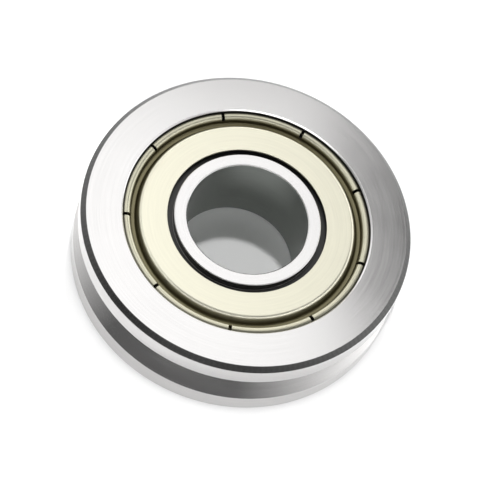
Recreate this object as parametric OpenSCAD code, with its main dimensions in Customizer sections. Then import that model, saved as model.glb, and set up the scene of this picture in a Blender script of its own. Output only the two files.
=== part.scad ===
// V groove guide wheel: a shielded deep groove ball bearing whose thick outer ring carries a V track.
// Lengths are in millimetres. The axle's centreline is Z and the origin is the centre of the bore,
// halfway between the end faces. The wheel lies on its lower end face.

/* [Wheel] */
// Diameter of the bore that takes the axle
bore_d = 15; // [13:0.5:16]
// Outside diameter over the two lands beside the V groove
outside_d = 41; // [39:0.5:48]
// Width over the end faces, the same on both rings
width = 11; // [10.6:0.2:14]
// Bevel at the rim's two outer corners
rim_bevel = 0.6; // [0.3:0.1:1]
// Bevel at both ends of the bore
bore_bevel = 0.15; // [0.1:0.05:0.6]

/* [V groove] */
// Width of the V groove at its mouth
groove_w = 4.8; // [3.5:0.1:5.6]
// Angle between the two flanks of the V groove, in degrees
groove_angle = 90; // [80:1:110]
// Radius at the bottom of the V groove
groove_root_r = 0.3; // [0.1:0.05:0.6]

/* [Balls and races] */
// Diameter of a ball, 15/64 inch
ball_d = 5.953; // [5.75:0.001:6.15]
// Diameter of the circle through the balls' centres
pitch_d = 25; // [24.6:0.1:25.6]
// Play between a ball and each race
race_play = 0.02; // [0.01:0.005:0.05]
// Section radius of the inner race, as a share of the ball's diameter
inner_race_fit = 0.515; // [0.51:0.005:0.53]
// Section radius of the outer race, as a share of the ball's diameter
outer_race_fit = 0.525; // [0.515:0.005:0.54]
// Height of the inner ring's shoulders above the bottom of its race
inner_shoulder_h = 1.2; // [1:0.05:1.3]
// Height of the outer ring's shoulders above the bottom of its race
outer_shoulder_h = 1; // [0.8:0.05:1.1]

/* [Ring ends] */
// Wall of the inner ring between the bore and the land inside the shield's hole
land_wall = 1.6; // [1.2:0.05:1.9]
// Depth of the inner ring's shoulders below its end faces
land_depth = 1.2; // [1:0.05:1.4]
// Step from the outer ring's shoulder out to the mouth that the shield snaps through
mouth_step = 0.88; // [0.86:0.02:1]
// Depth of the lip that keeps the shield in
lip_h = 0.6; // [0.5:0.02:0.65]
// Overhang of the lip over the shield's seat
lip_catch = 0.12; // [0.08:0.02:0.2]
// Bevel at the outer ring's two corners beside the shields
mouth_bevel = 0.18; // [0.1:0.02:0.4]
// Bevel at the outer corners of the inner ring
inner_bevel = 0.1; // [0.05:0.05:0.3]

/* [Shields] */
// Thickness of the shield's sheet steel
shield_t = 0.3; // [0.2:0.02:0.34]
// Gap between the inner ring's land and the edge of the shield's hole
shield_gap = 0.8; // [0.5:0.05:1.2]
// Depth of the shield's flat below the end faces
shield_recess = 0.3; // [0.2:0.05:0.4]
// Drop from the shield's flat to the trough round it
shield_drop = 1.1; // [0.95:0.05:1.2]
// Radial run of the sloping wall between the flat and the trough
slope_run = 0.5; // [0.4:0.02:0.7]
// Radial width of the trough, from the foot of the slope to the curl
trough_w = 0.86; // [0.78:0.02:0.96]
// Outer radius of the curled rim's section
curl_r = 0.54; // [0.48:0.02:0.6]
// Depth of the curl's crest below the shield's flat
crest_depth = 0.04; // [0:0.02:0.12]
// Play between the curled rim and the seat's round wall
seat_play = 0.04; // [0.02:0.01:0.08]
// Bend radius of the sheet's middle line
bend_r = 0.38; // [0.28:0.02:0.44]
// Number of slits in the curled rim
slit_count = 9; // [6:1:16]
// Width of a slit
slit_w = 0.42; // [0.25:0.01:0.7]

/* [Cage] */
// Thickness of the cage's sheet steel
cage_t = 0.6; // [0.5:0.05:0.65]
// Radial width of the cage's ribbon
cage_w = 2.5; // [2:0.1:2.7]
// Play between a ball and its pocket
pocket_play = 0.1; // [0.06:0.01:0.16]
// Diameter of a rivet's shank
rivet_d = 1; // [0.8:0.05:1.2]
// Diameter of a rivet's heads
rivet_head_d = 1.8; // [1.5:0.05:2]
// Height of a rivet's heads
rivet_head_h = 0.45; // [0.3:0.05:0.6]
// Play of a rivet's shank in its holes
rivet_play = 0.02; // [0.01:0.005:0.04]

/* [Hidden] */
$fn = 96;

steel = "silver";
dark_steel = "dimgray";
bright_steel = "gainsboro";
passivated = "palegoldenrod";
over = 1; // how far a cutter runs past what it cuts
dome_facets = 40;
bend_steps = 4;
curl_steps = 10;
ball_count = 8; // one node each

half_w = width / 2;
bore_r = bore_d / 2;
outside_r = outside_d / 2;
ball_r = ball_d / 2;
pitch_r = pitch_d / 2;
ball_step = 360 / ball_count;

// Races and shoulders
inner_race_r = pitch_r - ball_r - race_play;
outer_race_r = pitch_r + ball_r + race_play;
inner_section_r = inner_race_fit * ball_d;
outer_section_r = outer_race_fit * ball_d;
inner_shoulder_r = inner_race_r + inner_shoulder_h;
outer_shoulder_r = outer_race_r - outer_shoulder_h;

// Ring ends and the shield's seat
land_r = bore_r + land_wall;
mouth_r = outer_shoulder_r + mouth_step;
seat_r = mouth_r + lip_catch;
seat_depth = shield_recess + shield_drop + shield_t;

// Middle line of the shield's sheet, as radius and depth below the end face
curl_mid_r = curl_r - shield_t / 2;
curl_centre_r = seat_r - seat_play - curl_r;
rise_r = curl_centre_r - curl_mid_r;
foot_r = rise_r - trough_w;
flat_r = foot_r - slope_run;
hole_r = land_r + shield_gap;
flat_depth = shield_recess + shield_t / 2;
trough_depth = flat_depth + shield_drop;
curl_depth = shield_recess + crest_depth + curl_r;

// V groove
flank_angle = groove_angle / 2;
groove_point_r = outside_r - groove_w / 2 / tan(flank_angle);
groove_root_centre = groove_point_r + groove_root_r / sin(flank_angle);

// Cage
pocket_r = ball_r + pocket_play;
cage_inner_r = pitch_r - cage_w / 2;
rivet_r = rivet_d / 2;
rivet_hole_r = rivet_r + rivet_play;

// Points on an arc about c, from angle a0 to a1
function arc(c, r, a0, a1, steps = bend_steps) =
    [for (i = [0:steps]) let (a = a0 + (a1 - a0) * i / steps) c + r * [cos(a), sin(a)]];

function unit(v) = v / norm(v);
function left_of(v) = [-v[1], v[0]];
function heading(v) = atan2(v[1], v[0]);
function turn(a, b) = let (d = heading(b) - heading(a)) d > 180 ? d - 360 : d < -180 ? d + 360 : d;

// The bend from direction u to direction v round a corner p, drawn off to the left of its middle line
function bend(p, u, v, r, off) =
    let (
        way = turn(u, v),
        side = sign(way),
        centre = p - u * r * tan(abs(way) / 2) + side * left_of(u) * r
    )
    arc(centre, r - side * off, heading(u) - side * 90, heading(u) - side * 90 + way);

// One side of a folded sheet, a distance off to the left of its middle line, up to the last leg
function sheet_side(path, r, off) =
    concat(
        [path[0] + off * left_of(unit(path[1] - path[0]))],
        [for (i = [1:len(path) - 2])
            each bend(path[i], unit(path[i] - path[i - 1]), unit(path[i + 1] - path[i]), r, off)]
    );

function backwards(points) = [for (i = [len(points) - 1:-1:0]) points[i]];

// A half section's points followed by their mirror images below the middle plane
function both_ends(points) =
    concat(points, [for (p = backwards(points)) [p[0], -p[1]]]);

// Repeats its children once for each ball, starting at a share of the spacing
module round_the_balls(share = 0) {
    for (i = [0:ball_count - 1])
        rotate([0, 0, (i + share) * ball_step])
            translate([pitch_r, 0, 0])
                children();
}

// Outer ring: lands, V groove, ball race and a snap-in seat for a shield at each end
module outer_ring() {
    color(steel)
        rotate_extrude()
            difference() {
                polygon(both_ends([
                    [outer_shoulder_r, half_w - seat_depth],
                    [seat_r, half_w - seat_depth],
                    [seat_r, half_w - lip_h - lip_catch],
                    [mouth_r, half_w - lip_h],
                    [mouth_r, half_w - mouth_bevel],
                    [mouth_r + mouth_bevel, half_w],
                    [outside_r - rim_bevel, half_w],
                    [outside_r, half_w - rim_bevel],
                ]));
                translate([outer_race_r - outer_section_r, 0]) circle(r = outer_section_r);
                v_groove_section();
            }
}

module v_groove_section() {
    touch = groove_root_r * [-sin(flank_angle), cos(flank_angle)];
    flank = (outside_r + over - groove_root_centre - touch[0]) * [1, tan(flank_angle)];
    translate([groove_root_centre, 0]) {
        circle(r = groove_root_r);
        polygon(both_ends([touch, touch + flank]));
    }
}

// Inner ring: bore, ball race, and a low land at each end that the shield's hole clears
module inner_ring() {
    color(steel)
        rotate_extrude()
            difference() {
                polygon(both_ends([
                    [inner_shoulder_r, half_w - land_depth - inner_bevel],
                    [inner_shoulder_r - inner_bevel, half_w - land_depth],
                    [land_r, half_w - land_depth],
                    [land_r, half_w - inner_bevel],
                    [land_r - inner_bevel, half_w],
                    [bore_r + bore_bevel, half_w],
                    [bore_r, half_w - bore_bevel],
                ]));
                translate([inner_race_r + inner_section_r, 0]) circle(r = inner_section_r);
            }
}

// Shield: a flat with a plain hole, a sloping wall down to a trough, and a slit rim curled over
// into the outer ring's seat, whose free edge stands on the bottom of the seat
module shield_section() {
    path = [
        [hole_r, half_w - flat_depth],
        [flat_r, half_w - flat_depth],
        [foot_r, half_w - trough_depth],
        [rise_r, half_w - trough_depth],
        [rise_r, half_w - curl_depth],
    ];
    curl_centre = [curl_centre_r, half_w - curl_depth];
    tail_end = [curl_centre_r + curl_mid_r, half_w - seat_depth];
    polygon(concat(
        sheet_side(path, bend_r, shield_t / 2),
        arc(curl_centre, curl_r, 180, 0, curl_steps),
        [tail_end + [shield_t / 2, 0], tail_end - [shield_t / 2, 0]],
        arc(curl_centre, curl_r - shield_t, 0, 180, curl_steps),
        backwards(sheet_side(path, bend_r, -shield_t / 2))
    ));
}

module shield() {
    trough_level = half_w - trough_depth + shield_t / 2;
    color(passivated)
        difference() {
            rotate_extrude() shield_section();
            for (i = [0:slit_count - 1])
                rotate([0, 0, i * 360 / slit_count])
                    translate([rise_r - shield_t / 2, -slit_w / 2, trough_level])
                        cube([seat_r, slit_w, width]);
        }
}

// Cage half: a flat ribbon that domes over every ball, with a rivet hole between each two
module cage_half() {
    color(dark_steel) {
        difference() {
            ribbon(cage_t);
            round_the_balls() sphere(r = pocket_r, $fn = dome_facets);
            round_the_balls(0.5) translate([0, 0, -over]) cylinder(r = rivet_hole_r, h = width);
        }
        intersection() {
            ribbon(width);
            round_the_balls() dome();
        }
    }
}

module ribbon(h) {
    rotate_extrude() translate([cage_inner_r, 0]) square([cage_w, h]);
}

module dome() {
    rotate_extrude($fn = dome_facets)
        intersection() {
            difference() {
                circle(r = pocket_r + cage_t);
                circle(r = pocket_r);
            }
            square(ball_d);
        }
}

// Rivet through both cage halves, with a low round head at each end
module rivet() {
    cylinder(r = rivet_r, h = 2 * cage_t, center = true);
    for (end = [0, 1])
        mirror([0, 0, end])
            translate([0, 0, cage_t])
                rivet_head();
}

module rivet_head() {
    head_r = rivet_head_d / 2;
    dome_r = (head_r * head_r + rivet_head_h * rivet_head_h) / (2 * rivet_head_h);
    intersection() {
        translate([0, 0, rivet_head_h - dome_r]) sphere(r = dome_r);
        cylinder(r = head_r, h = rivet_head_h);
    }
}

module ball(number) {
    color(bright_steel)
        rotate([0, 0, (number - 1) * ball_step])
            translate([pitch_r, 0, 0])
                sphere(r = ball_r);
}

inner_ring();
outer_ring();
shield();  // shield_top
rotate([180, 0, 0]) shield();  // shield_bottom
cage_half();  // cage_top
mirror([0, 0, 1]) cage_half();  // cage_bottom
color(bright_steel) round_the_balls(0.5) rivet();  // cage_rivets
for (number = [1:ball_count])
    ball(number);
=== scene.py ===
"""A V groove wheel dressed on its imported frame: a ball bearing whose outer ring is the wheel."""

import math

import bpy
from bpy.props import FloatProperty, FloatVectorProperty, IntProperty, PointerProperty
from bpy.types import Operator, Panel, PropertyGroup
from mathutils import Matrix, Vector


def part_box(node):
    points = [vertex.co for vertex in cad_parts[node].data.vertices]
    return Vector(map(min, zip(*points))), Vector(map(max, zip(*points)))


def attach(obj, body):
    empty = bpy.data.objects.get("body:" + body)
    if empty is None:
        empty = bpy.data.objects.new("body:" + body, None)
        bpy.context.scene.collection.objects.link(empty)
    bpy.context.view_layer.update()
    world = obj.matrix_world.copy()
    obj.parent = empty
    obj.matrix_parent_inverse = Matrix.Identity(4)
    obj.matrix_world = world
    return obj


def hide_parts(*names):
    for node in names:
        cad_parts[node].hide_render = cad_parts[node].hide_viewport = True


bl_info = {
    "name": "V Groove Wheel",
    "version": (1, 0, 0),
    "blender": (4, 5, 0),
    "location": "3D View > Sidebar > V Groove Wheel",
    "description": "Turns, presses and finishes the pieces of a shielded V groove guide wheel",
    "category": "Object",
}

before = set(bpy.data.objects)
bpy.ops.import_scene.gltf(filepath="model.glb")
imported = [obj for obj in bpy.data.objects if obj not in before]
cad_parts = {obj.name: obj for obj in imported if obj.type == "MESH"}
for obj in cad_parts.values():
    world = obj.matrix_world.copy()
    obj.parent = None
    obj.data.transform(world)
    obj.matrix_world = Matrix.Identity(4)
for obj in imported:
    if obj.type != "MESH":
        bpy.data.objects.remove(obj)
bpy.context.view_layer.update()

MM = 0.001
MICRON = 0.000001
FAR = 1.0  # beyond every piece
MERGE = 1e-6  # points closer than this are one point
ARC_STEP = math.radians(15)  # turn between two points of a rounded corner
RACE_STEPS = 24  # steps along the section of a race
RING_STEPS = 192  # steps round a ring
SHIELD_STEPS = 216  # steps round a shield
BALL_CUTS = 17  # cuts across each side of the block that a ball starts from
SMOOTH_ANGLE = math.radians(32)  # an edge that turns more than this stays crisp
MASK_EDGE = 0.03 * MM  # how softly a mask ends
MIX_SOCKETS = {"FLOAT": (2, 0), "RGBA": (6, 2)}  # a Mix node's first input and its output, by kind

OUTSIDE_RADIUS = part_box("outer_ring")[1].x
HALF_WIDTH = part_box("outer_ring")[1].z
BALL_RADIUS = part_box("ball_1")[1].z
PITCH_RADIUS = sum(corner.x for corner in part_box("ball_1")) / 2
BALLS = sorted(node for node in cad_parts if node.startswith("ball_"))


def length(name, description, millimetres):
    """A size that the user can change, stored in metres."""
    return FloatProperty(
        name=name, description=description, default=millimetres * MM,
        min=0, precision=5, unit="LENGTH", subtype="DISTANCE",
    )


def share(name, description, default):
    """A value between nothing and one."""
    return FloatProperty(
        name=name, description=description, default=default, min=0, max=1, subtype="FACTOR",
    )


def colour(name, description, default):
    """A linear colour."""
    return FloatVectorProperty(
        name=name, description=description, default=default, min=0, max=1, subtype="COLOR",
    )


def angle(name, description, degrees):
    """An angle that the user can change, stored in radians."""
    return FloatProperty(
        name=name, description=description, default=math.radians(degrees),
        subtype="ANGLE", unit="ROTATION",
    )


def brightness(name, description, default):
    """How bright a light is, or a part of the surroundings."""
    return FloatProperty(name=name, description=description, default=default, min=0)


def direction(name, description, default):
    """A direction from the wheel's centre."""
    return FloatVectorProperty(
        name=name, description=description, default=default, subtype="DIRECTION",
    )


class WheelSizes(PropertyGroup):
    """Sizes of the two rings and their races"""
    rim_bevel: length("Rim bevel", "Bevel at the rim's outer corners", 0.6)
    groove_width: length("Groove width", "Width of the V groove at its mouth", 4.8)
    groove_angle: angle("Groove angle", "Angle between the flanks of the V groove", 90)
    groove_root: length("Groove root", "Radius at the bottom of the V groove", 0.3)
    race_play: length("Race play", "Play between a ball and each race", 0.02)
    outer_section: length("Outer race section", "Section radius of the outer race", 3.125325)
    inner_section: length("Inner race section", "Section radius of the inner race", 3.065795)
    outer_shoulder: length("Outer shoulder", "Height of the shoulders above the outer race", 1.0)
    inner_shoulder: length("Inner shoulder", "Height of the shoulders above the inner race", 1.2)
    mouth_step: length("Mouth step", "Step from the outer shoulder out to the shield's mouth", 0.88)
    mouth_bevel: length("Mouth bevel", "Bevel at the outer ring's inner corners", 0.18)
    lip_height: length("Lip height", "Depth of the lip that keeps the shield in", 0.6)
    lip_catch: length("Lip catch", "Overhang of the lip over the shield's seat", 0.12)
    bore_radius: length("Bore radius", "Radius of the bore", 7.5)
    bore_bevel: length("Bore bevel", "Bevel at both ends of the bore", 0.15)
    land_wall: length("Land wall", "Wall between the bore and the land beside the shields", 1.6)
    land_depth: length("Land depth", "Depth of the inner shoulders below the end faces", 1.2)
    inner_bevel: length("Inner bevel", "Bevel at the outer corners of the inner ring", 0.1)
    edge_round: length("Edge rounding", "Rounding that finishing leaves on every edge", 0.05)


class ShieldSizes(PropertyGroup):
    """Sizes of the pressed sheet steel shields"""
    thickness: length("Thickness", "Thickness of the sheet", 0.3)
    gap: length("Gap", "Gap between the inner ring's land and the shield's hole", 0.8)
    recess: length("Recess", "Depth of the flat below the end faces", 0.3)
    drop: length("Drop", "Drop from the flat to the trough", 1.1)
    slope_run: length("Slope run", "Radial run of the slope between flat and trough", 0.5)
    trough: length("Trough", "Radial width of the trough", 0.86)
    curl_radius: length("Curl radius", "Outer radius of the curled rim's section", 0.54)
    crest_depth: length("Crest depth", "Depth of the curl's crest below the flat", 0.04)
    seat_play: length("Seat play", "Play between the curl and the seat's round wall", 0.04)
    bend_radius: length("Bend radius", "Bend radius of the sheet's middle line", 0.38)
    slits: IntProperty(
        name="Slits", description="Number of slits in the curled rim", default=9, min=2, max=36,
    )
    slit_width: length("Slit width", "Width of a slit", 0.42)


class WheelFinish(PropertyGroup):
    """Colours and gloss of the wheel's finishes"""
    ring_steel: colour("Ring steel", "Colour of the ground bearing steel", (0.515, 0.508, 0.504))
    # Painted shade: the bore is coloured darker than the ring steel for the shade inside it; its
    # coarser wall is real and set by its roughness.
    bore_painted_shade: colour("Bore painted shade", "Colour of the bore's coarser wall", (0.32, 0.336, 0.32))
    # Painted dark reflection: the rim bevels are coloured nearly black for the dark surroundings
    # that they mirror.
    bevel_painted_dark: colour("Bevel painted dark", "Colour of the bevels at the rim", (0.07, 0.07, 0.069))
    # Painted shade: the seats and shoulders seen through the gaps beside the shields are coloured
    # nearly black where shade falls.
    seat_painted_shade: colour("Seat painted shade", "Colour of the unground shield seats", (0.06, 0.06, 0.059))
    face_roughness: share("Face roughness", "Roughness of the ground end faces", 0.21)
    rim_roughness: share("Rim roughness", "Roughness of the polished lands and flanks", 0.13)
    bore_roughness: share("Bore roughness", "Roughness of the bore's wall", 0.3)
    bevel_roughness: share("Bevel roughness", "Roughness of the bevels at the rim", 0.25)
    seat_roughness: share("Seat roughness", "Roughness of the shield seats", 0.5)
    face_dish: share("Face dish", "Slope of the outer ring's end faces towards the rim", 0.05)
    shield_steel: colour("Shield steel", "Colour of the passivated shields", (0.64, 0.622, 0.51))
    # Painted shade: a dark olive colour in the shields' trough stands in for the shade in that
    # crease.
    trough_painted_shade: colour("Trough painted shade", "Colour of the trough, with its oil", (0.16, 0.145, 0.087))
    # Painted shade: the curl is coloured darker, as it lies in shade in the channel beside the
    # outer ring.
    curl_painted_shade: colour("Curl painted shade", "Colour of the curl, dulled by pressing", (0.46, 0.444, 0.345))
    shield_roughness: share("Shield roughness", "Roughness of the shields", 0.38)
    cage_steel: colour("Cage steel", "Colour of the pressed cage", (0.40, 0.395, 0.38))
    cage_roughness: share("Cage roughness", "Roughness of the pressed cage", 0.42)
    rivet_steel: colour("Rivet steel", "Colour of the rivets", (0.52, 0.515, 0.50))
    rivet_roughness: share("Rivet roughness", "Roughness of the rivets", 0.3)
    ball_steel: colour("Ball steel", "Colour of the lapped balls", (0.64, 0.64, 0.645))
    ball_roughness: share("Ball roughness", "Roughness of the lapped balls", 0.08)
    floor: colour("Floor", "Colour of the floor", (0.93, 0.93, 0.93))


class StageSetup(PropertyGroup):
    """Where the camera stands and how strong the light is"""
    distance: length("Camera distance", "Distance from the wheel's centre to the camera", 330)
    elevation: angle("Elevation", "Camera's height above the wheel's middle plane", 60)
    roll: angle("Roll", "Camera's turn about its line of sight", 20.7)
    lens: FloatProperty(name="Lens", description="Focal length", default=200, min=1, unit="CAMERA")
    key: brightness("Key brightness", "Brightness of the overhead soft light", 1.78)
    key_length: length("Key length", "Length of the overhead light, along its heading", 240)
    key_width: length("Key width", "Width of the overhead light, across its heading", 200)
    key_height: length("Key height", "Height of the overhead light", 250)
    key_edge: length("Key edge", "Distance from the axle to the light's far edge", 92)
    key_back: length("Key back", "Distance from the axle to the light's back edge", 217)
    key_heading: angle("Key heading", "Direction of the light's far edge, from +X towards +Y", 20)
    high: brightness("High lamp", "Brightness of the high floor lamp", 0.45)
    high_way: direction("High way", "Direction of the high floor lamp", (-0.1, 0.38, 0.92))
    front: brightness("Front lamp", "Brightness of the front floor lamp", 0.7)
    front_way: direction("Front way", "Direction of the front floor lamp", (-0.1, -0.84, 0.53))
    lamp_distance: length("Lamp distance", "Distance from the centre to the floor lamps", 400)
    lamp_size: length("Lamp size", "Diameter of the floor lamps", 30)
    side: brightness("Side", "Brightness round the wheel", 2.75)
    dark: brightness("Dark side", "Brightness low down on the camera's side", 0.17)
    dark_heading: angle("Dark heading", "Direction of the dark side, from +X towards +Y", -101)
    zenith: brightness("Zenith", "Brightness high up beside the overhead light", 0.2)
    fill: brightness("Fill", "Brightness halfway up, but not behind the wheel", 4.2)


# Outlines


def left_of(way):
    """The direction a quarter turn to the left."""
    return Vector((-way.y, way.x))


def rounded(corners):
    """The closed outline through corners (radius, height, rounding), with an arc at each."""
    points = []
    for i, (x, z, rounding) in enumerate(corners):
        corner = Vector((x, z))
        way_in = (corner - Vector(corners[i - 1][:2])).normalized()
        way_out = (Vector(corners[(i + 1) % len(corners)][:2]) - corner).normalized()
        turn = math.atan2(way_in.cross(way_out), way_in.dot(way_out))
        if rounding == 0 or abs(turn) < MERGE:
            points.append(corner)
            continue
        side = math.copysign(1, turn)
        back = way_in * rounding * math.tan(abs(turn) / 2)
        centre = corner - back + left_of(way_in) * rounding * side
        start = math.atan2(-side * left_of(way_in).y, -side * left_of(way_in).x)
        steps = max(2, math.ceil(abs(turn) / ARC_STEP))
        for k in range(steps + 1):
            heading = start + turn * k / steps
            points.append(centre + rounding * Vector((math.cos(heading), math.sin(heading))))
    return points


def below(corners):
    """The same corners below the wheel's middle plane, in the order that carries the outline on."""
    return [(x, -z, rounding) for x, z, rounding in reversed(corners)]


def race_arc(centre, section, edge_height, bulge):
    """The race's arc between its two edges, bulging outwards (1) or inwards (-1)."""
    reach = math.asin(edge_height / section)
    angles = [reach * (2 * k / RACE_STEPS - 1) for k in range(1, RACE_STEPS)]
    return [(centre + bulge * section * math.cos(a), section * math.sin(a), 0) for a in angles]


def outer_race_radius(s):
    return PITCH_RADIUS + BALL_RADIUS + s.race_play


def mouth_radius(s):
    """Radius of the opening in the outer ring's end faces."""
    return outer_race_radius(s) - s.outer_shoulder + s.mouth_step


def seat_radius(s):
    """Radius of the round wall behind the lip, where a shield's curl sits."""
    return mouth_radius(s) + s.lip_catch


def seat_level(shield):
    """Height of the outer ring's shoulders, where a shield stops."""
    return HALF_WIDTH - shield.recess - shield.drop - shield.thickness


def land_radius(s):
    """Radius of the inner ring beside its end faces."""
    return s.bore_radius + s.land_wall


def outer_ring_outline(s, shield):
    """Section of the outer ring: seats, lips, end faces, rim, V groove and race."""
    shoulder = outer_race_radius(s) - s.outer_shoulder
    mouth = mouth_radius(s)
    seat = seat_radius(s)
    level = seat_level(shield)
    race_centre = outer_race_radius(s) - s.outer_section
    race_edge = math.sqrt(s.outer_section**2 - (shoulder - race_centre) ** 2)
    e = s.edge_round
    upper = [
        (shoulder, race_edge, e),
        (shoulder, level, e),
        (seat, level, e),
        (seat, HALF_WIDTH - s.lip_height - s.lip_catch, e),
        (mouth, HALF_WIDTH - s.lip_height, e),
        (mouth, HALF_WIDTH - s.mouth_bevel, e),
        (mouth + s.mouth_bevel, HALF_WIDTH, e),
        (OUTSIDE_RADIUS - s.rim_bevel, HALF_WIDTH, e),
        (OUTSIDE_RADIUS, HALF_WIDTH - s.rim_bevel, 2 * e),
        (OUTSIDE_RADIUS, s.groove_width / 2, 2 * e),
    ]
    groove_point = OUTSIDE_RADIUS - s.groove_width / 2 / math.tan(s.groove_angle / 2)
    race = race_arc(race_centre, s.outer_section, race_edge, 1)
    return rounded(upper + [(groove_point, 0, s.groove_root)] + below(upper) + race)


def inner_ring_outline(s):
    """Section of the inner ring: shoulders, lands, end faces, bore and race."""
    race_radius = PITCH_RADIUS - BALL_RADIUS - s.race_play
    shoulder = race_radius + s.inner_shoulder
    land = land_radius(s)
    land_level = HALF_WIDTH - s.land_depth
    race_centre = race_radius + s.inner_section
    race_edge = math.sqrt(s.inner_section**2 - (race_centre - shoulder) ** 2)
    e = s.edge_round
    upper = [
        (shoulder, race_edge, e),
        (shoulder, land_level - s.inner_bevel, e),
        (shoulder - s.inner_bevel, land_level, e),
        (land, land_level, e),
        (land, HALF_WIDTH - s.inner_bevel, e),
        (land - s.inner_bevel, HALF_WIDTH, e),
        (s.bore_radius + s.bore_bevel, HALF_WIDTH, e),
        (s.bore_radius, HALF_WIDTH - s.bore_bevel, e),
    ]
    return rounded(upper + below(upper) + race_arc(race_centre, s.inner_section, race_edge, -1))


def sheet_outline(path, thickness, edge):
    """The outline of a folded sheet, from its middle line's (radius, height, bend radius)."""
    middle = [Vector(point[:2]) for point in path]
    ways = [(b - a).normalized() for a, b in zip(middle, middle[1:])]
    sides = []
    for side in (1, -1):
        offset = side * thickness / 2
        corners = [(*(middle[0] + left_of(ways[0]) * offset), edge)]
        for point, way_in, way_out, (_, _, bend) in zip(middle[1:], ways, ways[1:], path[1:]):
            turn = math.atan2(way_in.cross(way_out), way_in.dot(way_out))
            mitre = left_of(way_in) + left_of(way_out)
            corner = point + mitre * offset / (1 + math.cos(turn))
            corners.append((*corner, bend - math.copysign(offset, side * turn)))
        corners.append((*(middle[-1] + left_of(ways[-1]) * offset), edge))
        sides.append(corners)
    return rounded(sides[0] + sides[1][::-1])


def shield_outline(s, shield):
    """Section of the upper shield: flat, slope, trough, curl and tail."""
    half_sheet = shield.thickness / 2
    curl = shield.curl_radius - half_sheet
    tail = seat_radius(s) - shield.seat_play - half_sheet
    rise = tail - 2 * curl
    foot = rise - shield.trough
    flat = foot - shield.slope_run
    hole = land_radius(s) + shield.gap
    flat_level = HALF_WIDTH - shield.recess - half_sheet
    crest_level = flat_level - shield.crest_depth
    trough_level = flat_level - shield.drop
    path = [
        (hole, flat_level, 0),
        (flat, flat_level, shield.bend_radius),
        (foot, trough_level, shield.bend_radius),
        (rise, trough_level, shield.bend_radius),
        (rise, crest_level, curl),
        (tail, crest_level, curl),
        (tail, trough_level - half_sheet, 0),
    ]
    return sheet_outline(path, shield.thickness, s.edge_round)


# Workshop: how the pieces are made


def deselect_all():
    if bpy.context.object and bpy.context.object.mode != "OBJECT":
        bpy.ops.object.mode_set(mode="OBJECT")
    bpy.ops.object.select_all(action="DESELECT")


def select_only(piece):
    deselect_all()
    piece.select_set(True)
    bpy.context.view_layer.objects.active = piece


def turned(name, outline, steps):
    """A ring turned from a closed outline.

    One point is drawn out round the outline, which is then spun round the axle."""
    deselect_all()
    bpy.ops.mesh.primitive_plane_add(size=MM, location=(outline[0].x, 0, outline[0].y))
    ring = bpy.context.object
    ring.name = name
    bpy.ops.object.transform_apply()
    bpy.ops.object.mode_set(mode="EDIT")
    bpy.ops.mesh.merge(type="CENTER")
    for here, there in zip(outline, outline[1:] + outline[:1]):
        step = there - here
        bpy.ops.mesh.extrude_vertices_move(TRANSFORM_OT_translate={"value": (step.x, 0, step.y)})
    bpy.ops.mesh.select_all(action="SELECT")
    bpy.ops.mesh.remove_doubles(threshold=MERGE)
    bpy.ops.mesh.spin(steps=steps, angle=2 * math.pi, center=(0, 0, 0), axis=(0, 0, 1))
    bpy.ops.mesh.select_all(action="SELECT")
    bpy.ops.mesh.remove_doubles(threshold=MERGE)
    bpy.ops.mesh.normals_make_consistent(inside=False)
    bpy.ops.object.mode_set(mode="OBJECT")
    return ring


def apply_modifier(piece, kind, **values):
    """Adds a modifier to the piece and applies it."""
    select_only(piece)
    bpy.ops.object.modifier_add(type=kind)
    modifier = piece.modifiers[-1]
    for key, value in values.items():
        setattr(modifier, key, value)
    bpy.ops.object.modifier_apply(modifier=modifier.name)


def rescale(piece, factor):
    """Enlarges the selected piece's mesh about the wheel's centre."""
    piece.scale = (factor, factor, factor)
    bpy.ops.object.transform_apply()


def smooth(piece):
    """Smooth shading with crisp edges, the flats kept flat.

    The modifier takes very small faces for equal, so the piece is enlarged meanwhile."""
    select_only(piece)
    bpy.ops.object.shade_smooth_by_angle(angle=SMOOTH_ANGLE)
    rescale(piece, 1 / MM)
    apply_modifier(piece, "WEIGHTED_NORMAL", keep_sharp=True)
    rescale(piece, MM)


def slit_cutters(count, inner, outer, width, low, high):
    """Thin blocks round the rim, one at each slit."""
    deselect_all()
    bpy.ops.mesh.primitive_cube_add(size=1, location=((inner + outer) / 2, 0, (low + high) / 2))
    cutters = bpy.context.object
    cutters.scale = (outer - inner, width, high - low)
    bpy.ops.object.transform_apply()
    bpy.ops.object.mode_set(mode="EDIT")
    bpy.ops.mesh.select_all(action="SELECT")
    turn = 2 * math.pi / count
    bpy.ops.mesh.spin(
        steps=count - 1, angle=turn * (count - 1), center=(0, 0, 0), axis=(0, 0, 1), dupli=True)
    bpy.ops.object.mode_set(mode="OBJECT")
    return cutters


def turned_copy(piece, name, axis, turn):
    """A copy with its own mesh, turned about an axis through the wheel's centre."""
    select_only(piece)
    bpy.ops.object.duplicate(linked=False)
    copy = bpy.context.object
    copy.name = name
    copy.matrix_world = Matrix.Rotation(turn, 4, axis)
    bpy.ops.object.transform_apply()
    return copy


def finished(piece, material, body, slot, *nodes):
    """Gives the piece its material and its body, and hides the CAD nodes that it stands for. slot
    is not used.
    """
    piece.data.materials.clear()
    piece.data.materials.append(material)
    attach(piece, body)
    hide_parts(*nodes)


# Finishes


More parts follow.
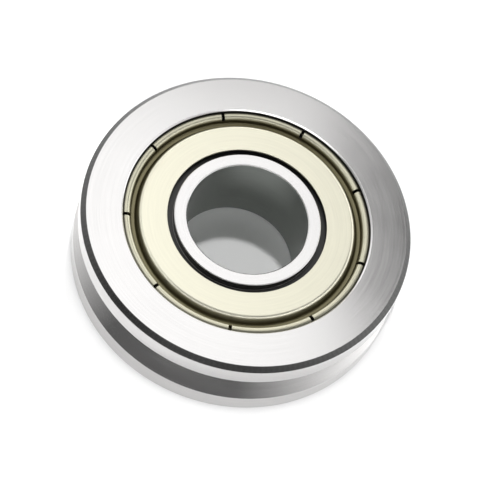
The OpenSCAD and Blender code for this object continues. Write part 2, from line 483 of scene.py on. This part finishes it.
class Nodes:
    """A node tree with short calls for the nodes that the finishes use."""

    def __init__(self, tree):
        self.tree = tree

    def add(self, kind, values=None, **settings):
        node = self.tree.nodes.new(kind)
        for key, value in settings.items():
            setattr(node, key, value)
        for socket, value in (values or {}).items():
            self.put(node.inputs[socket], value)
        return node

    def put(self, socket, value):
        if isinstance(value, bpy.types.NodeSocket):
            self.tree.links.new(value, socket)
        else:
            socket.default_value = value

    def math(self, operation, *values):
        node = self.add("ShaderNodeMath", operation=operation)
        for socket, value in zip(node.inputs, values):
            self.put(socket, value)
        return node.outputs[0]

    def vector(self, operation, values, output="Vector"):
        return self.add("ShaderNodeVectorMath", values, operation=operation).outputs[output]

    def ramp(self, value, low, high, to_low=0.0, to_high=1.0):
        """The value moved from one range to another, and kept inside it."""
        node = self.add("ShaderNodeMapRange", {
            "Value": value, "From Min": low, "From Max": high, "To Min": to_low, "To Max": to_high,
        })
        return node.outputs["Result"]

    def mix(self, kind, factor, a, b):
        """A blend of two numbers (FLOAT) or two colours (RGBA)."""
        first, result = MIX_SOCKETS[kind]
        node = self.add("ShaderNodeMix", {0: factor, first: a, first + 1: b}, data_type=kind)
        return node.outputs[result]

    def place(self):
        """The place in the piece, its distance out from the axle as a vector, and its height."""
        place = self.add("ShaderNodeTexCoord").outputs["Object"]
        parts = self.add("ShaderNodeSeparateXYZ", {0: place}).outputs
        arm = self.add("ShaderNodeCombineXYZ", {0: parts[0], 1: parts[1]}).outputs[0]
        return place, arm, parts[2]


def rgba(values, gain=1.0):
    """A socket's colour from a linear colour, made darker or lighter."""
    return (*(min(1.0, value * gain) for value in values), 1.0)


def new_group(name, inputs, outputs):
    """A shader node group with named number inputs and outputs."""
    tree = bpy.data.node_groups.new(name, "ShaderNodeTree")
    for label, default in inputs.items():
        socket = tree.interface.new_socket(
            name=label, in_out="INPUT", socket_type="NodeSocketFloat")
        socket.default_value = default
    for label in outputs:
        tree.interface.new_socket(name=label, in_out="OUTPUT", socket_type="NodeSocketFloat")
    nodes = Nodes(tree)
    asked = nodes.add("NodeGroupInput").outputs
    given = nodes.add("NodeGroupOutput").inputs
    return tree, nodes, asked, given


def turning_marks():
    """Fine marks that run round the axle, as turning and grinding leave them."""
    name = "Turning marks"
    if name in bpy.data.node_groups:
        return bpy.data.node_groups[name]
    tree, nodes, asked, given = new_group(
        name, {"Marks per metre": 9000.0, "Sweep": 1.6, "Patches per metre": 220.0},
        ("Marks", "Patches"),
    )
    place, arm, level = nodes.place()
    from_axle = nodes.vector("LENGTH", {0: arm}, "Value")
    heading = nodes.vector("NORMALIZE", {0: arm})
    swept = nodes.vector("SCALE", {0: heading, "Scale": asked["Sweep"]})
    level_share = 0.62  # lets the marks change with height too, on round walls
    along = nodes.math("ADD", from_axle, nodes.math("MULTIPLY", level, level_share))
    rise = nodes.math("MULTIPLY", along, asked["Marks per metre"])
    upwards = nodes.add("ShaderNodeCombineXYZ", {2: rise}).outputs[0]
    spot = nodes.vector("ADD", {0: swept, 1: upwards})
    marks = nodes.add("ShaderNodeTexNoise", {
        "Vector": spot, "Scale": 1.0, "Detail": 3.0, "Roughness": 0.6,
    })
    patches = nodes.add("ShaderNodeTexNoise", {
        "Vector": place, "Scale": asked["Patches per metre"], "Detail": 2.0,
    })
    nodes.put(given["Marks"], marks.outputs[0])
    nodes.put(given["Patches"], patches.outputs[0])
    return tree


def new_finish(name):
    """A new material: its nodes and its Principled shader."""
    material = bpy.data.materials.new(name)
    material.use_nodes = True
    nodes = Nodes(material.node_tree)
    return material, nodes, material.node_tree.nodes["Principled BSDF"]


def finish_steel(name, colours, roughness, spread, marks_per_metre, depth, form=None):
    """Steel with fine marks round the axle that vary its colour, gloss and relief.

    colours and roughness each hold a base value, then (mask, value) pairs laid over it. A mask
    takes the node helper and gives a socket, and so does form, a height in metres that leans what
    it covers. spread is how far the roughness varies, and depth is the height of the marks."""
    marks_share, patches_share = 0.7, 0.3
    tones = 0.3, 0.7  # most of the noise lies between these
    darkest, lightest = 0.93, 1.05
    material, nodes, shader = new_finish(name)
    group = nodes.add("ShaderNodeGroup", node_tree=turning_marks())
    group.inputs["Marks per metre"].default_value = marks_per_metre
    marks, patches = group.outputs["Marks"], group.outputs["Patches"]
    tone = nodes.math(
        "ADD", nodes.math("MULTIPLY", marks, marks_share),
        nodes.math("MULTIPLY", patches, patches_share))
    tint = rgba(colours[0])
    for mask, value in colours[1:]:
        tint = nodes.mix("RGBA", mask(nodes), tint, rgba(value))
    gain = nodes.ramp(tone, *tones, darkest, lightest)
    varied = nodes.add("ShaderNodeHueSaturation", {"Value": gain, "Color": tint}).outputs[0]
    nodes.put(shader.inputs["Base Color"], varied)
    dullness = roughness[0]
    for mask, value in roughness[1:]:
        dullness = nodes.mix("FLOAT", mask(nodes), dullness, value)
    uneven = nodes.ramp(tone, *tones, -spread, spread)
    nodes.put(shader.inputs["Roughness"], nodes.math("ADD", uneven, dullness))
    relief = nodes.math("MULTIPLY", marks, depth)
    if form:
        relief = nodes.math("ADD", relief, form(nodes))
    bump = nodes.add("ShaderNodeBump", {"Height": relief, "Strength": 1.0, "Distance": 1.0})
    nodes.put(shader.inputs["Normal"], bump.outputs["Normal"])
    shader.inputs["Metallic"].default_value = 1.0
    return material


def radius_and_height():
    """Distance from the axle and from the middle plane, which the masks of the finishes use."""
    name = "Radius and height"
    if name in bpy.data.node_groups:
        return bpy.data.node_groups[name]
    tree, nodes, _, given = new_group(name, {}, ("Radius", "Height"))
    _, arm, level = nodes.place()
    nodes.put(given["Radius"], nodes.vector("LENGTH", {0: arm}, "Value"))
    nodes.put(given["Height"], nodes.math("ABSOLUTE", level))
    return tree


def between(value_of, low, high, soft=MASK_EDGE):
    """A mask that is one where a value lies between two limits."""
    def mask(nodes):
        place = nodes.add("ShaderNodeGroup", node_tree=radius_and_height()).outputs
        value = value_of(nodes, place["Radius"], place["Height"])
        rising = nodes.ramp(value, low - soft, low + soft)
        return nodes.math("MULTIPLY", rising, nodes.ramp(value, high + soft, high - soft))
    return mask


def both(first, second):
    """A mask that is one where both masks are."""
    return lambda nodes: nodes.math("MULTIPLY", first(nodes), second(nodes))


# The next three say what a mask reads. Each takes the node helper and both distances.


def radius(nodes, from_axle, from_middle):
    return from_axle


def height(nodes, from_axle, from_middle):
    return from_middle


def corner_sum(nodes, from_axle, from_middle):
    return nodes.math("ADD", from_axle, from_middle)


def dished(inner, outer, slope):
    """A fall of the outer ring's end faces towards the rim, too shallow to show as a form."""
    inset, reach, fade = 2 * MM, 2.2 * MM, 0.3 * MM  # it ends out of sight, inside the mouth
    end = both(between(radius, inner - inset, FAR), between(height, HALF_WIDTH - reach, FAR, fade))

    def form(nodes):
        from_axle = nodes.add("ShaderNodeGroup", node_tree=radius_and_height()).outputs["Radius"]
        fall = nodes.ramp(from_axle, inner, outer, slope * (outer - inner), 0)
        return nodes.math("MULTIPLY", fall, end(nodes))
    return form


def ring_finish(scene):
    """Bearing steel: ground end faces, polished lands and flanks, a coarser bore; painted shade in
    the bore and on the seats, a painted dark reflection on the rim bevels.
    """
    name = "Ground bearing steel"
    if name in bpy.data.materials:
        return bpy.data.materials[name]
    s, shield, finish = scene.wheel_sizes, scene.shield_sizes, scene.wheel_finish
    skin = 0.04 * MM  # depth of an end face's mask
    behind = 0.05 * MM  # how far a round wall's mask goes in
    below_seat = 0.5 * MM  # how far the seat's painted shade goes on under a shield
    end_face = between(height, HALF_WIDTH - skin, FAR)
    # Painted dark reflection on the rim bevels.
    rim_bevel = between(corner_sum, OUTSIDE_RADIUS + HALF_WIDTH - s.rim_bevel - MASK_EDGE, FAR)
    # Painted shade inside the bore.
    bore = between(radius, 0, s.bore_radius + behind)
    # Painted shade in the gaps between the rings and the shields.
    seat = both(
        between(radius, land_radius(s) + MASK_EDGE, seat_radius(s) + behind),
        between(height, seat_level(shield) - below_seat, HALF_WIDTH - s.mouth_bevel),
    )
    return finish_steel(
        name,
        [
            finish.ring_steel,
            (bore, finish.bore_painted_shade),
            (rim_bevel, finish.bevel_painted_dark),
            (seat, finish.seat_painted_shade),
        ],
        [
            finish.rim_roughness,
            (end_face, finish.face_roughness),
            (bore, finish.bore_roughness),
            (rim_bevel, finish.bevel_roughness),
            (seat, finish.seat_roughness),
        ],
        spread=0.03, marks_per_metre=7000, depth=0.2 * MICRON,
        form=dished(mouth_radius(s), OUTSIDE_RADIUS - s.rim_bevel, finish.face_dish),
    )


def shield_finish(scene):
    """Yellow passivated sheet, with painted shade down in the trough and over the curled rim."""
    shield, finish = scene.shield_sizes, scene.wheel_finish
    # Painted shade: the shield is coloured darker below its flat, down in the trough where shade
    # falls.
    shade_depth, shade_fade = 0.45 * MM, 0.35 * MM
    trough = between(height, 0, HALF_WIDTH - shield.recess - shade_depth, shade_fade)
    # Painted shade over the curled rim and the outer part of the trough.
    curl = between(radius, mouth_radius(scene.wheel_sizes) - 2 * shield.curl_radius, FAR)
    return finish_steel(
        "Passivated sheet steel",
        [finish.shield_steel, (curl, finish.curl_painted_shade), (trough, finish.trough_painted_shade)],
        [finish.shield_roughness],
        spread=0.04, marks_per_metre=4000, depth=0.3 * MICRON,
    )


def ball_finish(finish):
    """Lapped steel, the finest of the finishes."""
    return finish_steel(
        "Lapped ball steel", [finish.ball_steel], [finish.ball_roughness],
        spread=0.02, marks_per_metre=3000, depth=0.1 * MICRON,
    )


def cage_finish(finish):
    """Pressed sheet steel as it leaves the press."""
    return finish_steel(
        "Pressed cage steel", [finish.cage_steel], [finish.cage_roughness],
        spread=0.06, marks_per_metre=2500, depth=1 * MICRON,
    )


def rivet_finish(finish):
    """Drawn steel wire with headed ends."""
    return finish_steel(
        "Headed rivet steel", [finish.rivet_steel], [finish.rivet_roughness],
        spread=0.05, marks_per_metre=5000, depth=1 * MICRON,
    )


# Operators


class GUIDE_WHEEL_OT_outer_ring(Operator):
    """Turns the outer ring with its lands, V groove, race and shield seats"""
    bl_idname = "guide_wheel.outer_ring"
    bl_label = "Outer ring"

    def execute(self, context):
        scene = context.scene
        outline = outer_ring_outline(scene.wheel_sizes, scene.shield_sizes)
        ring = turned("Outer_ring", outline, RING_STEPS)
        smooth(ring)
        finished(ring, ring_finish(scene), "outer", "ring_steel", "outer_ring")
        return {"FINISHED"}


class GUIDE_WHEEL_OT_inner_ring(Operator):
    """Turns the inner ring with its bore, race and lands"""
    bl_idname = "guide_wheel.inner_ring"
    bl_label = "Inner ring"

    def execute(self, context):
        scene = context.scene
        ring = turned("Inner_ring", inner_ring_outline(scene.wheel_sizes), RING_STEPS)
        smooth(ring)
        finished(ring, ring_finish(scene), "inner", "ring_steel", "inner_ring")
        return {"FINISHED"}


class GUIDE_WHEEL_OT_shields(Operator):
    """Presses the upper shield, slits its curled rim, and copies it to the lower face"""
    bl_idname = "guide_wheel.shields"
    bl_label = "Shields"

    def execute(self, context):
        scene = context.scene
        sizes, shield = scene.wheel_sizes, scene.shield_sizes
        outline = shield_outline(sizes, shield)
        upper = turned("Shield_top", outline, SHIELD_STEPS)
        rim = max(point.x for point in outline)
        trough_top = HALF_WIDTH - shield.recess - shield.drop
        start = rim - 2 * shield.curl_radius
        cutters = slit_cutters(
            shield.slits, start, rim + MM, shield.slit_width, trough_top, HALF_WIDTH + MM)
        apply_modifier(upper, "BOOLEAN", operation="DIFFERENCE", solver="EXACT", object=cutters)
        bpy.data.objects.remove(cutters, do_unlink=True)
        smooth(upper)
        lower = turned_copy(upper, "Shield_bottom", "X", math.pi)
        material = shield_finish(scene)
        finished(upper, material, "outer", "shield_steel", "shield_top")
        finished(lower, material, "outer", "shield_steel", "shield_bottom")
        return {"FINISHED"}


class GUIDE_WHEEL_OT_balls(Operator):
    """Makes one ball from a finely divided block and copies it to each pocket"""
    bl_idname = "guide_wheel.balls"
    bl_label = "Balls"

    def execute(self, context):
        deselect_all()
        bpy.ops.mesh.primitive_cube_add(size=2 * BALL_RADIUS)
        first = context.object
        first.name = "Ball_1"
        bpy.ops.object.mode_set(mode="EDIT")
        bpy.ops.mesh.select_all(action="SELECT")
        bpy.ops.mesh.subdivide(number_cuts=BALL_CUTS)
        bpy.ops.transform.tosphere(value=1)
        bpy.ops.object.mode_set(mode="OBJECT")
        # Rounding the block changes its size.
        size = BALL_RADIUS / first.data.vertices[0].co.length
        first.scale = (size, size, size)
        first.location.x = PITCH_RADIUS
        bpy.ops.object.transform_apply()
        bpy.ops.object.shade_smooth()
        material = ball_finish(context.scene.wheel_finish)
        balls = [first]
        for i, node in enumerate(BALLS[1:], start=1):
            turn = math.tau * i / len(BALLS)
            balls.append(turned_copy(first, node.capitalize(), "Z", turn))
        for ball, node in zip(balls, BALLS):
            finished(ball, material, node, "ball_steel", node)
        return {"FINISHED"}


class GUIDE_WHEEL_OT_cage(Operator):
    """Finishes the pressed cage halves and their rivets"""
    bl_idname = "guide_wheel.cage"
    bl_label = "Cage"

    def execute(self, context):
        finish = context.scene.wheel_finish
        pressed, headed = cage_finish(finish), rivet_finish(finish)
        finishes = {"cage_top": pressed, "cage_bottom": pressed, "cage_rivets": headed}
        for node, material in finishes.items():
            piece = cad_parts[node]
            piece.data.materials.clear()
            piece.data.materials.append(material)
        return {"FINISHED"}


class GUIDE_WHEEL_OT_stage(Operator):
    """Lays the floor, hangs the soft lights and sets the camera"""
    bl_idname = "guide_wheel.stage"
    bl_label = "Stage"

    def execute(self, context):
        scene = context.scene
        setup = scene.stage_setup
        self.lay_floor(scene.wheel_finish)
        self.hang_key(setup)
        self.hang_floor_lamp(setup, "High_floor_lamp", setup.high_way, setup.high)
        self.hang_floor_lamp(setup, "Front_floor_lamp", setup.front_way, setup.front)
        self.surroundings(scene, setup)
        self.place_camera(scene, setup)
        scene.view_settings.view_transform = "Standard"
        return {"FINISHED"}

    def lay_floor(self, finish):
        """A pale matt floor with a faint cloud in its colour."""
        floor_size, cloud_tone, matt = 3, 0.005, 0.9
        deselect_all()
        bpy.ops.mesh.primitive_plane_add(size=floor_size, location=(0, 0, -HALF_WIDTH))
        floor = bpy.context.object
        floor.name = "Floor"
        material, nodes, shader = new_finish("Pale floor")
        place = nodes.add("ShaderNodeTexCoord").outputs["Object"]
        cloud = nodes.add("ShaderNodeTexNoise", {"Vector": place, "Scale": 30.0, "Detail": 2.0})
        darker, lighter = rgba(finish.floor, 1 - cloud_tone), rgba(finish.floor, 1 + cloud_tone)
        nodes.put(shader.inputs["Base Color"], nodes.mix("RGBA", cloud.outputs[0], darker, lighter))
        shader.inputs["Roughness"].default_value = matt
        floor.data.materials.append(material)

    def hang_key(self, setup):
        """A long soft light that only metal mirrors; past its far edge the end faces darken."""
        deselect_all()
        turn = Matrix.Rotation(setup.key_heading, 3, "Z")
        place = turn @ Vector((
            setup.key_edge - setup.key_length / 2,
            setup.key_back - setup.key_width / 2,
            setup.key_height,
        ))
        bpy.ops.object.light_add(type="AREA", location=place, rotation=(0, 0, setup.key_heading))
        lamp = bpy.context.object
        lamp.name = "Key_softbox"
        lamp.visible_diffuse = False
        lamp.visible_camera = False
        lamp.data.shape = "RECTANGLE"
        lamp.data.size = setup.key_length
        lamp.data.size_y = setup.key_width
        lamp.data.energy = setup.key * math.pi * setup.key_width * setup.key_length

    def hang_floor_lamp(self, setup, name, way, strength):
        """A small lamp that lights only the floor; the high one reaches it through the bore."""
        deselect_all()
        way = Vector(way).normalized()
        facing = way.to_track_quat("Z", "Y").to_euler()
        bpy.ops.object.light_add(type="AREA", location=way * setup.lamp_distance, rotation=facing)
        lamp = bpy.context.object
        lamp.name = name
        lamp.visible_camera = False
        lamp.visible_glossy = False
        lamp.data.shape = "DISK"
        lamp.data.size = setup.lamp_size
        lamp.data.energy = strength * math.pi ** 2 * setup.lamp_distance ** 2

    def surroundings(self, scene, setup):
        """Bright all round but on the camera's side, and dim high up.

        The limits are parts of a direction whose length is one. A band is nothing at its first
        limit and full at its second."""
        bright_end, dark_end = -0.9, 0.72  # along the dark heading
        low_band, high_band, fill_band = (0.65, 0.5), (0.53, 0.59), (0.7, 0.66)  # upwards
        fill_side = 0.2, 0  # towards the back
        world = bpy.data.worlds.new("Studio")
        world.use_nodes = True
        scene.world = world
        nodes = Nodes(world.node_tree)
        background = world.node_tree.nodes["Background"]
        way = nodes.add("ShaderNodeTexCoord").outputs["Generated"]
        _, back, up = nodes.add("ShaderNodeSeparateXYZ", {0: way}).outputs
        heading = Vector((math.cos(setup.dark_heading), math.sin(setup.dark_heading), 0))
        towards = nodes.vector("DOT_PRODUCT", {0: way, 1: heading}, "Value")
        around = nodes.ramp(towards, bright_end, dark_end, setup.side, setup.dark)
        low = nodes.math("MULTIPLY", around, nodes.ramp(up, *low_band))
        in_front = nodes.ramp(back, *fill_side, 0, setup.fill)
        fill = nodes.math("MULTIPLY", in_front, nodes.ramp(up, *fill_band))
        high = nodes.math("ADD", fill, setup.zenith)
        high = nodes.math("MULTIPLY", high, nodes.ramp(up, *high_band))
        nodes.put(background.inputs["Strength"], nodes.math("ADD", low, high))
        background.inputs["Color"].default_value = (1, 1, 1, 1)

    def place_camera(self, scene, setup):
        """A long lens that looks at the wheel's centre from the front."""
        deselect_all()
        bpy.ops.object.camera_add()
        camera = bpy.context.object
        camera.name = "Camera"
        camera.data.lens = setup.lens
        camera.data.clip_start = 0.01
        away = Vector((0, -math.cos(setup.elevation), math.sin(setup.elevation)))
        turn = away.to_track_quat("Z", "Y").to_matrix() @ Matrix.Rotation(setup.roll, 3, "Z")
        camera.matrix_world = Matrix.Translation(away * setup.distance) @ turn.to_4x4()
        scene.camera = camera


class GUIDE_WHEEL_PT_sidebar(Panel):
    """Lists what the wheel is made of"""
    bl_idname = "GUIDE_WHEEL_PT_sidebar"
    bl_label = "V Groove Wheel"
    bl_space_type = "VIEW_3D"
    bl_region_type = "UI"
    bl_category = "V Groove Wheel"

    def draw(self, context):
        layout = self.layout
        scene = context.scene
        for operator in OPERATORS:
            layout.operator(operator.bl_idname)
        for group in (scene.wheel_sizes, scene.shield_sizes, scene.wheel_finish, scene.stage_setup):
            box = layout.box()
            for name in group.bl_rna.properties.keys():
                if name not in ("rna_type", "name"):
                    box.prop(group, name)


GROUPS = {
    "wheel_sizes": WheelSizes,
    "shield_sizes": ShieldSizes,
    "wheel_finish": WheelFinish,
    "stage_setup": StageSetup,
}
OPERATORS = (
    GUIDE_WHEEL_OT_outer_ring,
    GUIDE_WHEEL_OT_inner_ring,
    GUIDE_WHEEL_OT_shields,
    GUIDE_WHEEL_OT_balls,
    GUIDE_WHEEL_OT_cage,
    GUIDE_WHEEL_OT_stage,
)


def register():
    for cls in (*GROUPS.values(), *OPERATORS, GUIDE_WHEEL_PT_sidebar):
        bpy.utils.register_class(cls)
    for name, group in GROUPS.items():
        setattr(bpy.types.Scene, name, PointerProperty(type=group))


def unregister():
    for name in GROUPS:
        delattr(bpy.types.Scene, name)
    for cls in reversed((*GROUPS.values(), *OPERATORS, GUIDE_WHEEL_PT_sidebar)):
        bpy.utils.unregister_class(cls)


def main():
    register()
    bpy.ops.guide_wheel.outer_ring()
    bpy.ops.guide_wheel.inner_ring()
    bpy.ops.guide_wheel.shields()
    bpy.ops.guide_wheel.balls()
    bpy.ops.guide_wheel.cage()
    bpy.ops.guide_wheel.stage()


if __name__ == "__main__":
    main()
